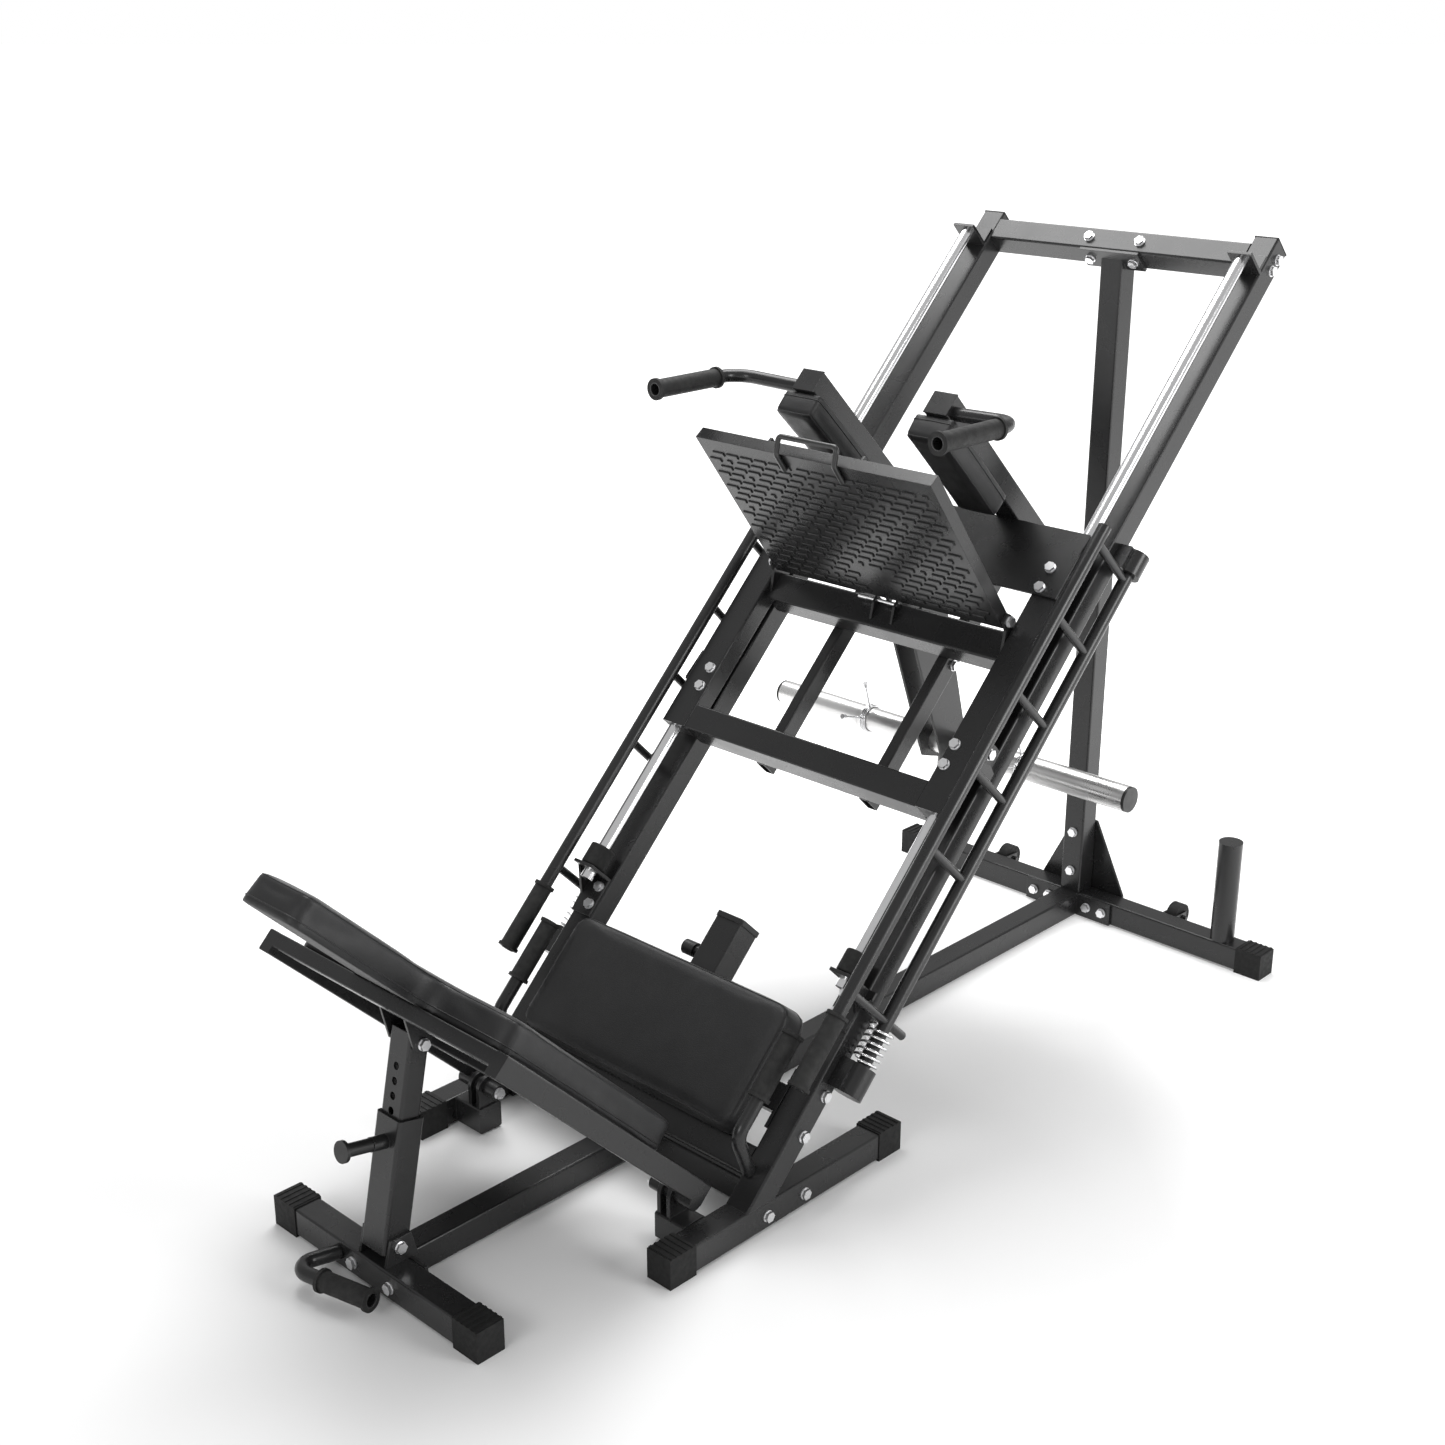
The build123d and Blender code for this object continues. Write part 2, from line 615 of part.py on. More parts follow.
# The horn hangs below the carriage between two plates, which lean back from the upper cross tubes.
with BuildPart() as horn_brackets:
    rib_floor = carriage_floor - rib_depth
    outline_plate(rail, (hanger_x, hanger_x + plate),
                  [(hanger_low, carriage_floor), (hanger_high, carriage_floor), (hanger_high, rib_floor),
                   (horn_u + 36, horn_h), (horn_u + 20, horn_h - 36), (horn_u - 20, horn_h - 36),
                   (horn_u - 45, horn_h + 12), (hanger_low + 8, rib_floor)])
    mirror(about=Plane.YZ)
    hanger_tube = (hanger_high, hanger_high + 30)
    box_tube(rail, 0, (-rib_inner, rib_inner), hanger_tube, (rib_floor, carriage_floor))
    bar(rail, 0, horn_u, horn_h, (-hanger_x - plate, hanger_x + plate), horn_radius - horn_step,
        mode=Mode.SUBTRACT)

with BuildPart() as weight_horn:
    bar(rail, 0, horn_u, horn_h, (-horn_free, horn_free), horn_radius - horn_step)
    for low in (-horn_half, horn_free):
        bar(rail, 0, horn_u, horn_h, (low, low + horn_half - horn_free), horn_radius)
    bar(rail, 0, horn_u, horn_h, (-horn_half, horn_half), horn_radius - 4, mode=Mode.SUBTRACT)

with BuildPart() as horn_caps:
    bar(rail, 0, horn_u, horn_h, (horn_half, horn_half + plate), horn_radius - horn_step)
    bar(rail, 0, horn_u, horn_h, (horn_half - 12, horn_half), horn_radius - 4)
    mirror(about=Plane.YZ)


def spring_collar(side):
    """Adds a sprung wire collar: three turns round the horn and two finger loops."""
    ring = horn_radius + running + 2.25
    for turn in range(3):
        place = facing(rail, "+x", (side * (collar_x + 4.4 * turn), horn_u, horn_h))
        with Locations(place.location):
            Torus(ring, 2.25)
    for turn, angle in ((0, 62), (2, 118)):
        direction = radians(angle)
        x = side * (collar_x + 4.4 * turn)
        start = (x, horn_u + ring * cos(direction), horn_h + ring * sin(direction))
        end = (x, horn_u + (ring + 52) * cos(direction), horn_h + (ring + 52) * sin(direction))
        way = rail.from_local_coords(end) - rail.from_local_coords(start)
        with BuildSketch(Plane(rail.from_local_coords(start), x_dir=(1, 0, 0), z_dir=way)) as leg:
            Circle(2.25)
        extrude(leg.sketch, amount=way.length)
        with BuildSketch(Plane(rail.from_local_coords(end), x_dir=(1, 0, 0), z_dir=way)) as knob:
            Circle(5)
        extrude(knob.sketch, amount=9)


with BuildPart() as collar_left:
    spring_collar(-1)

with BuildPart() as collar_right:
    spring_collar(1)

with BuildPart() as safety_catches:
    outline_plate(rail, (member_outer, member_outer + catch_plate),
                  [(catch_u, 0), (catch_u + catch_length, 6), (catch_u + catch_length, 54), (catch_u, 58)])
    outline_plate(rail, (member_outer + catch_plate, member_outer + 16),
                  [(catch_u, 2), (catch_u + 20, 2), (catch_u + 26, 24), (catch_u + 20, 46), (catch_u, 46)])
    drill(catch_bolts[::2])
    mirror(about=Plane.YZ)

arm_x = (arm_inner, arm_inner + tube)
arm_u = (member_high, member_high + arm_depth)
with BuildPart() as shoulder_arms:
    box_tube(rail, 2, arm_x, arm_u, (arm_low, arm_high))
    block(rail, arm_x, arm_u, (arm_high, arm_high + 3))
    mirror(about=Plane.YZ)


def shoulder_pad(side):
    """Adds one shoulder pad on the lower face of its arm."""
    x = side * (pad_inner + pad_width / 2)
    pad_face = facing(rail, "-y", (x, member_high, (pad_low + pad_high) / 2))
    with BuildSketch(pad_face) as pad_outline:
        RectangleRounded(pad_width, pad_high - pad_low, 10)
    extrude(pad_outline.sketch, amount=pad_thickness)


with BuildPart() as shoulder_pad_left:
    shoulder_pad(-1)

with BuildPart() as shoulder_pad_right:
    shoulder_pad(1)

shoulder_grip_x = 322
shoulder_handle_z = 1262 - sole
arm_middle = rail.from_local_coords((0, member_high + arm_depth / 2, arm_high - 24))
handle_start = base.to_local_coords(arm_middle)
shoulder_grip_y = (455, 616)
with BuildPart() as shoulder_handles:
    for side in (-1, 1):
        corner_y = shoulder_grip_y[1] + 52
        bent_tube(base, [(side * (arm_x[1] - 10), handle_start.Y - 4, handle_start.Z),
                         (side * shoulder_grip_x, corner_y, shoulder_handle_z),
                         (side * shoulder_grip_x, shoulder_grip_y[0], shoulder_handle_z)], 50, handle_radius)
    for x in (-arm_x[1], arm_x[0]):
        block(rail, (x, x + tube), arm_u, (arm_low, arm_high), mode=Mode.SUBTRACT)

with BuildPart() as shoulder_grips:
    for x in (-shoulder_grip_x, shoulder_grip_x):
        grip(base.from_local_coords((x, shoulder_grip_y[1], shoulder_handle_z)),
             base.from_local_coords((x, shoulder_grip_y[0], shoulder_handle_z)))

lean = radians(footplate_lean)
hinge_point = rail.from_local_coords((0, footplate_hinge_u, footplate_hinge_h))
tread_normal = rail.z_dir * sin(lean) - rail.y_dir * cos(lean)
# Footplate frame: x across, y up the plate from the hinge axis, z out of the tread.
tread = Plane(hinge_point, x_dir=(1, 0, 0), z_dir=tread_normal)
lug_face = 8
latch_radius = 4
latch_point = rail.to_local_coords(tread.from_local_coords((0, -21, lug_face + 0.3 + latch_radius)))
latch_u = latch_point.Y
latch_h = latch_point.Z
ear_plate_x = (footplate_half + 3, footplate_half + 9)
hinge_bolts = both("+x", rail, [(ear_plate_x[1], footplate_hinge_u, footplate_hinge_h)])
with BuildPart() as footplate_hinges:
    for x in (ear_plate_x, (-ear_plate_x[1], -ear_plate_x[0])):
        outline_plate(rail, x, [(1060, 45), (1107, 45), (footplate_hinge_u + 14, footplate_hinge_h - 8),
                                (footplate_hinge_u + 10, footplate_hinge_h + 12), (footplate_hinge_u - 10,
                                footplate_hinge_h + 12), (footplate_hinge_u - 16, footplate_hinge_h - 6)])
    drill(hinge_bolts, depth=30, radius=6 + running)
    for x in (-27, 22):
        outline_plate(rail, (x, x + 5), [(1060, 45), (1106, 45), (1104, 62), (1088, 62)])
    bar(rail, 0, latch_u, latch_h, (-30, 30), latch_radius + running, mode=Mode.SUBTRACT)

with BuildPart() as latch_pin:
    bar(rail, 0, latch_u, latch_h, (-48, 28), latch_radius)
    bar(rail, 0, latch_u, latch_h, (-66, -46), 5)

with BuildPart() as carriage_bolts:
    for seat in carriage_seats:
        hex_bolt(seat)
    for seat in hinge_bolts:
        hex_bolt(seat, shank=22, radius=6)

# ---------------------------------------------------------------- footplate
tread_top = footplate_length - footplate_lip
tread_back = footplate_face - footplate_sheet
flange_back = -12
with BuildPart() as footplate:
    full_x = (-footplate_half, footplate_half)
    block(tread, full_x, (-footplate_lip, tread_top), (tread_back, footplate_face))
    for x in (-footplate_half, footplate_half - footplate_flange):
        block(tread, (x, x + footplate_flange), (-footplate_lip, tread_top), (flange_back, tread_back))
    block(tread, full_x, (tread_top - footplate_flange, tread_top), (flange_back, tread_back))
    block(tread, (-240, 240), (-footplate_lip, -footplate_lip + footplate_flange), (flange_back, tread_back))
    for x in (-110, 104):
        block(tread, (x, x + 6), (-footplate_lip, tread_top), (-20, tread_back))
    outline_plate(tread, (-4, 4), [(-26, -8), (-26, lug_face), (-8, lug_face), (-8, tread_back), (60, tread_back),
                                   (40, -22), (-12, -22)])
    drill(hinge_bolts, depth=30, radius=6 + running)

with BuildPart() as footplate_handle:
    wire_z = footplate_face + 5
    top_y = tread_top + 26
    bent_tube(tread, [(-67, tread_top - 36, wire_z), (-67, top_y - 22, wire_z), (-67, top_y, wire_z - 24),
                      (67, top_y, wire_z - 24), (67, top_y - 22, wire_z), (67, tread_top - 36, wire_z)],
              8, 5, wall=4)

# ---------------------------------------------------------------- safety ladders
ladder_rise = atan2(ladder_tube_h - ladder_pivot_h, ladder_tube_x - ladder_pivot_x)
ladder_reach = hypot(ladder_tube_h - ladder_pivot_h, ladder_tube_x - ladder_pivot_x)


def ladder(side):
    """Adds a ladder: a pivot tube, a grip tube and the rungs between them, coped to meet both tubes."""
    across = rail.x_dir * (side * cos(ladder_rise)) + rail.z_dir * sin(ladder_rise)
    stations = [(rung_first + rung_pitch * i, 0, ladder_reach) for i in range(rung_count)]
    for station, low, high in stations + [(rung_end, 0, ladder_reach), (rung_end, -rung_stub, 0)]:
        foot = rail.from_local_coords((side * ladder_pivot_x, station, ladder_pivot_h)) + across * low
        with BuildSketch(Plane(foot, x_dir=rail.y_dir, z_dir=across)) as rung:
            Circle(rung_radius)
        extrude(rung.sketch, amount=high - low)
    tubes = [(ladder_pivot_h, ladder_pivot_x, (cup_u + 8, bearing_u + bearing_length - 4)),
             (ladder_tube_h, ladder_tube_x, (ladder_foot, ladder_top))]
    for h, x, span in tubes:
        bar(rail, 1, h, side * x, span, ladder_radius + weld_gap, mode=Mode.SUBTRACT)
    for h, x, span in tubes:
        bar(rail, 1, h, side * x, span, ladder_radius, bore=ladder_radius - 2)


with BuildPart() as ladder_left:
    ladder(-1)

with BuildPart() as ladder_right:
    ladder(1)

ladder_grip = (ladder_foot + 2, ladder_foot + 140)


def ladder_hand_grip(side):
    """Adds the rubber grip at the lower end of a ladder's grip tube."""
    x = side * ladder_tube_x
    grip(rail.from_local_coords((x, ladder_grip[0], ladder_tube_h)),
         rail.from_local_coords((x, ladder_grip[1], ladder_tube_h)))


with BuildPart() as ladder_grip_left:
    ladder_hand_grip(-1)

with BuildPart() as ladder_grip_right:
    ladder_hand_grip(1)

# ---------------------------------------------------------------- backrest
# Backrest frame: x across, y square to the rails, z towards the tower, from the board's back.
back_plane = Plane(rail.from_local_coords((0, board_back, 0)), x_dir=(-1, 0, 0), z_dir=rail.y_dir)


def back_outline(inset):
    """Draws the T outline of the back pad, drawn in by an inset."""
    wide = back_shoulder - back_low - 2 * inset
    with Locations((0, (back_low + back_shoulder) / 2)):
        Rectangle(2 * (back_half - inset), wide)
    with Locations((0, (back_low + back_top) / 2)):
        Rectangle(2 * (back_neck - inset), back_top - back_low - 2 * inset)


with BuildPart() as backrest_board:
    with BuildSketch(back_plane) as board_t:
        back_outline(board_inset)
        fillet(board_t.vertices().filter_by(lambda v: abs(v.X) < back_neck and v.Y < back_top - 60), 60)
        fillet(board_t.vertices().filter_by(lambda v: abs(v.X) > back_half - 20), 40)
    extrude(amount=back_board)

with BuildPart() as backrest_pad:
    with BuildSketch(back_plane.offset(back_board)) as pad_t:
        back_outline(0)
        fillet(pad_t.vertices().filter_by(lambda v: abs(v.X) < back_neck + 1 and v.Y < back_top - 60), 60)
        fillet(pad_t.vertices().filter_by(lambda v: abs(v.X) > back_half - 20), 45)
    extrude(amount=back_pad)
    fillet(backrest_pad.edges().group_by(Axis(origin=(0, 0, 0), direction=rail.z_dir))[-1].filter_by(
        Axis(origin=(0, 0, 0), direction=rail.y_dir)), 30)

back_tube_u = (board_back - back_tube_depth, board_back)
cross_depth = (board_back - 25, board_back)
lug_x = (post_inner_half + 3, post_inner_half + 8)
with BuildPart() as backrest_frame:
    outer = back_tube_x + back_tube_width
    pivot_inner = rail_inner - 92
    box_tube(rail, 2, (back_tube_x, outer), back_tube_u, (pivot_h - 16, back_frame_top), wall=2, corner=3)
    block(rail, (back_tube_x + lid_inset, outer - lid_inset),
          (back_tube_u[0] + lid_inset, back_tube_u[1] - lid_inset), (back_frame_top - 2, back_frame_top))
    top_cross = (back_frame_top - tube, back_frame_top)
    box_tube(rail, 0, (0, back_tube_x), cross_depth, top_cross, wall=2, corner=3)
    box_tube(rail, 0, (0, back_tube_x), cross_depth, (200, 240), wall=2, corner=3)
    bar(rail, 0, pivot_u, pivot_h, (pivot_inner, outer), pivot_radius)
    outline_plate(rail, lug_x, [(board_back, back_frame_top), (board_back, 560), (post_top_u + 12, post_top_h - 14),
                                (post_top_u - 12, post_top_h - 14), (post_top_u - 16, post_top_h + 8),
                                (cross_depth[0], 600), (cross_depth[0], back_frame_top)])
    block(rail, (0, lug_x[0]), (cross_depth[0] + 3, board_back - 3), (600, 640), mode=Mode.SUBTRACT)
    bar(rail, 0, post_top_u, post_top_h, (0, lug_x[1] + 1), 6 + running, mode=Mode.SUBTRACT)
    mirror(about=Plane.YZ)

with BuildPart() as backrest_bolts:
    for seat in both("-x", rail, [(pivot_inner, pivot_u, pivot_h)])[:1]:
        hex_bolt(seat, shank=0)
    mirror(about=Plane.YZ)
    hex_bolt(facing(rail, "+x", (lug_x[1], post_top_u, post_top_h)), shank=2 * lug_x[1] + 6, radius=6)
    with BuildSketch(facing(rail, "-x", (-lug_x[1], post_top_u, post_top_h))) as top_nut:
        RegularPolygon(head_radius, 6)
        Circle(6, mode=Mode.SUBTRACT)
    extrude(top_nut.sketch, amount=6)

# ---------------------------------------------------------------- telescopic post
post_foot = base.from_local_coords((0, -post_foot_back, post_foot_z - sole))
post_head = rail.from_local_coords((0, post_top_u, post_top_h))
post_length = (post_head - post_foot).length
# Post frame: x across, y towards the tower, z up along the post from its foot pivot.
post = Plane(post_foot, x_dir=(1, 0, 0), z_dir=post_head - post_foot)
foot_ear_x = (post_sleeve_half + 0.5, post_sleeve_half + 0.5 + plate)
foot_y_pair = (-post_foot_back - 28, -post_foot_back + 36)

with BuildPart() as post_foot_bracket:
    outline_plate(base, foot_ear_x, [(foot_y_pair[0], tube), (foot_y_pair[1], tube), (foot_y_pair[1] - 12, tube + 46),
                                     (foot_y_pair[0] + 12, tube + 46)])
    drill([facing(base, "+x", (foot_ear_x[1], -post_foot_back, post_foot_z - sole))], radius=6)
    mirror(about=Plane.YZ)

with BuildPart() as post_sleeve:
    half_x = (-post_sleeve_half, post_sleeve_half)
    half_y = (-post_sleeve_depth, post_sleeve_depth)
    sleeve_wall = post_sleeve_half - post_inner_half - post_gap
    box_tube(post, 2, half_x, half_y, (-14, post_sleeve_top), wall=sleeve_wall, corner=sleeve_wall + 1)
    bar(post, 1, post_pin_z, 0, (-post_sleeve_depth - 28, -post_sleeve_depth), 12)
    bar(post, 1, post_pin_z, 0, (-post_sleeve_depth - 30, -post_inner_depth), 6 + running, mode=Mode.SUBTRACT)
    bar(post, 0, 0, 0, half_x, 6 + running, mode=Mode.SUBTRACT)

with BuildPart() as post_inner:
    half_x = (-post_inner_half, post_inner_half)
    half_y = (-post_inner_depth, post_inner_depth)
    box_tube(post, 2, half_x, half_y, (75, post_length + 16), wall=3, corner=5)
    for hole in range(6):
        height = post_pin_z + hole * post_hole_pitch
        bar(post, 1, height, 0, half_y, 6.5, mode=Mode.SUBTRACT)
    bar(post, 0, 0, post_length, half_x, 6 + post_slack, mode=Mode.SUBTRACT)

with BuildPart() as post_pin:
    bar(post, 1, post_pin_z, 0, (-post_sleeve_depth - 60, -post_inner_depth - 0.6), 6)
    bar(post, 1, post_pin_z, 0, (-post_sleeve_depth - 78, -post_sleeve_depth - 29), 11)
    bar(post, 1, post_pin_z, 0, (-post_sleeve_depth - 84, -post_sleeve_depth - 78), 18)

with BuildPart() as frame_bolts:
    for seat in frame_seats:
        hex_bolt(seat)
    foot_seat = (foot_ear_x[1], -post_foot_back, post_foot_z - sole)
    hex_bolt(facing(base, "+x", foot_seat), shank=2 * foot_ear_x[1] + 6, radius=6)

# ---------------------------------------------------------------- export
pieces = {
    "front_stabilizer": front_stabilizer, "rear_stabilizer": rear_stabilizer, "base_beam": base_beam,
    "side_bases": side_bases, "cross_tubes": cross_tubes, "end_caps": end_caps,
    "rail_left": rail_left, "rail_right": rail_right, "top_crossbar": top_crossbar,
    "rear_upright": rear_upright, "rear_gusset": rear_gusset, "guide_rods": guide_rods,
    "rod_brackets": rod_brackets, "rod_bumpers": rod_bumpers, "ladder_bearings": ladder_bearings,
    "ladder_springs": ladder_springs, "seat_board": seat_board_part, "seat_pad": seat_pad,
    "handle_tubes": handle_tubes, "handle_grips": handle_grips, "accessory_socket": accessory_socket,
    "socket_pin": socket_pin, "storage_posts": storage_posts, "wheel_brackets": wheel_brackets,
    "wheel_left": wheel_left, "wheel_right": wheel_right, "carriage_members": carriage_members,
    "rod_bushings": rod_bushings, "upper_plate": upper_plate, "carriage_cross_tubes": carriage_cross_tubes,
    "carriage_ribs": carriage_ribs, "horn_brackets": horn_brackets, "weight_horn": weight_horn,
    "horn_caps": horn_caps, "collar_left": collar_left, "collar_right": collar_right,
    "safety_catches": safety_catches, "shoulder_arms": shoulder_arms, "shoulder_pad_left": shoulder_pad_left,
    "shoulder_pad_right": shoulder_pad_right, "shoulder_handles": shoulder_handles,
    "shoulder_grips": shoulder_grips, "footplate_hinges": footplate_hinges, "latch_pin": latch_pin,
    "carriage_bolts": carriage_bolts, "footplate": footplate, "footplate_handle": footplate_handle,
    "ladder_left": ladder_left, "ladder_right": ladder_right, "ladder_grip_left": ladder_grip_left,
    "ladder_grip_right": ladder_grip_right, "backrest_board": backrest_board, "backrest_pad": backrest_pad,
    "backrest_frame": backrest_frame, "backrest_bolts": backrest_bolts, "post_foot_bracket": post_foot_bracket,
    "post_sleeve": post_sleeve, "post_inner": post_inner, "post_pin": post_pin, "frame_bolts": frame_bolts,
}
os.makedirs("parts", exist_ok=True)
for name, piece in pieces.items():
    piece.part.label = name
    export_step(piece.part, f"parts/{name}.step")
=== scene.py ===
import json
import math

import bmesh
import bpy
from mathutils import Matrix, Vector
from mathutils.bvhtree import BVHTree


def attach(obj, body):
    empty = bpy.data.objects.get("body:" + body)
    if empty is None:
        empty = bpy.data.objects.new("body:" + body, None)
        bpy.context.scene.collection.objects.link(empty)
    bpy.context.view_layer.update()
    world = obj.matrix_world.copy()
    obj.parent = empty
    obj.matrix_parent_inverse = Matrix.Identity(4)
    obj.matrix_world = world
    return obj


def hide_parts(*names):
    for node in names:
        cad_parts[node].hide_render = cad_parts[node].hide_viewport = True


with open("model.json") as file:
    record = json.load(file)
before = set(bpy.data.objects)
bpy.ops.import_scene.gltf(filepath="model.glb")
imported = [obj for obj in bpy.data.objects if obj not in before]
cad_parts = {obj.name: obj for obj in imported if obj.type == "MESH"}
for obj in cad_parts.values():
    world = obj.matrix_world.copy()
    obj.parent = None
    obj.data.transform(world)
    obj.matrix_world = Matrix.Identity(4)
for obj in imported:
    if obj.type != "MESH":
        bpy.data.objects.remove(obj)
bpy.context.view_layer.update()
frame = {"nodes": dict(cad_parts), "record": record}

scene = bpy.context.scene
behaviour = frame["record"]["behaviour"]
joints = {joint["name"]: joint for joint in behaviour["joints"]}

# The rails' own directions: across, up along the rails, and out of their front face.
ACROSS = Vector((1, 0, 0))
ALONG = Vector(joints["carriage_slide"]["axis"])
OUT = ACROSS.cross(ALONG)


def span(node, direction, outside=0.0):
    """Lowest and highest reach of a node along a direction."""
    mesh = frame["nodes"][node].data
    reach = [vertex.co.dot(direction) for vertex in mesh.vertices]
    return min(reach) - outside, max(reach) + outside


# ------------------------------------------------------------ camera
def add_camera():
    camera = bpy.data.objects.new("camera", bpy.data.cameras.new("camera"))
    scene.collection.objects.link(camera)
    camera.data.lens = 50
    camera.data.sensor_width = 36
    camera.location = (2.2593, -2.4866, 1.9601)
    camera.rotation_euler = (math.radians(69.58), 0, math.radians(43.96))
    camera.data.clip_end = 60
    scene.camera = camera


add_camera()


# ------------------------------------------------------------ material tools
class Nodes:
    """A material's node tree with short helpers to add and join nodes."""

    def __init__(self, name):
        self.material = bpy.data.materials.new(name)
        self.material.use_nodes = True
        self.tree = self.material.node_tree
        self.shader = self.tree.nodes["Principled BSDF"]
        self.position = self.add("ShaderNodeTexCoord").outputs["Object"]

    def add(self, kind, **settings):
        node = self.tree.nodes.new(kind)
        for key, value in settings.items():
            setattr(node, key, value)
        return node

    def join(self, source, target):
        self.tree.links.new(source, target)

    def noise(self, scale, detail=3.0, rough=0.5, stretch=None):
        node = self.add("ShaderNodeTexNoise")
        node.inputs["Scale"].default_value = scale
        node.inputs["Detail"].default_value = detail
        node.inputs["Roughness"].default_value = rough
        source = self.position
        if stretch:
            mapping = self.add("ShaderNodeMapping")
            mapping.inputs["Scale"].default_value = stretch
            self.join(self.position, mapping.inputs["Vector"])
            source = mapping.outputs["Vector"]
        self.join(source, node.inputs["Vector"])
        return node.outputs["Fac"]

    def cells(self, scale, feature="F1"):
        node = self.add("ShaderNodeTexVoronoi", feature=feature)
        node.inputs["Scale"].default_value = scale
        self.join(self.position, node.inputs["Vector"])
        return node.outputs["Distance"]

    def ramp(self, source, low, high, first, second):
        node = self.add("ShaderNodeMapRange")
        self.join(source, node.inputs["Value"])
        for key, value in (("From Min", low), ("From Max", high), ("To Min", first), ("To Max", second)):
            node.inputs[key].default_value = value
        return node.outputs["Result"]

    def mix(self, factor, first, second):
        node = self.add("ShaderNodeMix", data_type="RGBA")
        self.join(factor, node.inputs["Factor"])
        for socket, value in ((node.inputs[6], first), (node.inputs[7], second)):
            if isinstance(value, tuple):
                socket.default_value = (*value, 1)
            else:
                self.join(value, socket)
        return node.outputs[2]

    def soft_edge(self, radius):
        """A normal that rounds sharp edges over the given radius."""
        node = self.add("ShaderNodeBevel", samples=4)
        node.inputs["Radius"].default_value = radius
        return node.outputs["Normal"]

    def worn_edges(self, rounded_normal):
        """Rubbed spots: where the rounded normal leaves the true one, broken up by noise."""
        geometry = self.add("ShaderNodeNewGeometry")
        dot = self.add("ShaderNodeVectorMath", operation="DOT_PRODUCT")
        self.join(rounded_normal, dot.inputs[0])
        self.join(geometry.outputs["True Normal"], dot.inputs[1])
        product = self.add("ShaderNodeMath", operation="MULTIPLY")
        self.join(self.ramp(dot.outputs["Value"], 0.985, 0.90, 0, 1), product.inputs[0])
        self.join(self.ramp(self.noise(45, 4), 0.48, 0.66, 0, 0.8), product.inputs[1])
        return product.outputs["Value"]

    def bump(self, source, strength, distance, after=None):
        node = self.add("ShaderNodeBump")
        node.inputs["Strength"].default_value = strength
        node.inputs["Distance"].default_value = distance
        self.join(source, node.inputs["Height"])
        if after:
            self.join(after, node.inputs["Normal"])
        return node.outputs["Normal"]

    def finish(self, color, roughness, normal=None, **fixed):
        for socket, value in (("Base Color", color), ("Roughness", roughness)):
            if isinstance(value, (tuple, float)):
                self.shader.inputs[socket].default_value = (*value, 1) if isinstance(value, tuple) else value
            else:
                self.join(value, self.shader.inputs[socket])
        if normal:
            self.join(normal, self.shader.inputs["Normal"])
        for socket, value in fixed.items():
            self.shader.inputs[socket.replace("_", " ")].default_value = value
        return self.material


def powder_coat(name, dark, light):
    """Satin powder coat: orange peel, faint mottling and rubbed edges."""
    n = Nodes(name)
    edge = n.soft_edge(0.0016)
    color = n.mix(n.ramp(n.noise(5, 3), 0.3, 0.7, 0, 1), dark, light)
    color = n.mix(n.worn_edges(edge), color, (0.075, 0.075, 0.077))
    roughness = n.ramp(n.noise(14, 4), 0.25, 0.75, 0.24, 0.31)
    peel = n.bump(n.noise(700, 2), 0.10, 0.0003, after=edge)
    grain = n.bump(n.cells(1900), 0.04, 0.0002, after=peel)
    return n.finish(color, roughness, grain, Specular_IOR_Level=0.42, Coat_Weight=0.08, Coat_Roughness=0.18)


def rubber(name, tone, bump=0.35):
    """Matt moulded rubber with dust in its grain."""
    n = Nodes(name)
    dust = n.ramp(n.noise(40, 6, 0.7), 0.5, 0.78, 0, 1)
    color = n.mix(dust, (tone, tone, tone), (tone * 2.1, tone * 2.1, tone * 2.05))
    roughness = n.ramp(n.noise(120, 3), 0.3, 0.7, 0.62, 0.78)
    normal = n.bump(n.noise(1500, 3), bump, 0.0004)
    return n.finish(color, roughness, normal, Specular_IOR_Level=0.35)


def grip_foam(name):
    """Hand grip rubber: fine turned ribs and pores."""
    n = Nodes(name)
    color = n.mix(n.ramp(n.noise(55, 5), 0.4, 0.7, 0, 1), (0.005, 0.005, 0.005), (0.012, 0.012, 0.0115))
    pores = n.bump(n.cells(1100), 0.5, 0.0005)
    normal = n.bump(n.noise(260, 5, 0.65), 0.4, 0.0008, after=pores)
    return n.finish(color, n.ramp(n.noise(90, 4), 0.3, 0.7, 0.55, 0.74), normal, Specular_IOR_Level=0.4)


def polished(name, color, low, high, scratch=(1, 1, 1), strength=0.05):
    """Plated or polished steel with fine drawing marks and smudges."""
    n = Nodes(name)
    smudge = n.ramp(n.noise(9, 5, 0.6), 0.35, 0.7, 0, 1)
    tint = n.mix(smudge, color, tuple(value * 0.86 for value in color))
    lines = n.noise(420, 3, 0.6, stretch=scratch)
    rough = n.add("ShaderNodeMath", operation="MULTIPLY_ADD")
    n.join(smudge, rough.inputs[0])
    rough.inputs[1].default_value = high - low
    rough.inputs[2].default_value = low
    return n.finish(tint, rough.outputs["Value"], n.bump(lines, strength, 0.0003), Metallic=1.0)


def vinyl(name):
    """Black upholstery vinyl: pebbled leather grain with soft creases."""
    n = Nodes(name)
    color = n.mix(n.ramp(n.noise(14, 5), 0.35, 0.7, 0, 1), (0.0085, 0.0085, 0.009), (0.0125, 0.0125, 0.013))
    creases = n.bump(n.noise(22, 4, 0.55), 0.12, 0.004)
    pebbles = n.bump(n.cells(620, "F1"), 0.32, 0.0006, after=creases)
    fine = n.bump(n.noise(1700, 3), 0.12, 0.0003, after=pebbles)
    roughness = n.ramp(n.noise(30, 4), 0.3, 0.7, 0.40, 0.52)
    return n.finish(color, roughness, fine, Specular_IOR_Level=0.42)


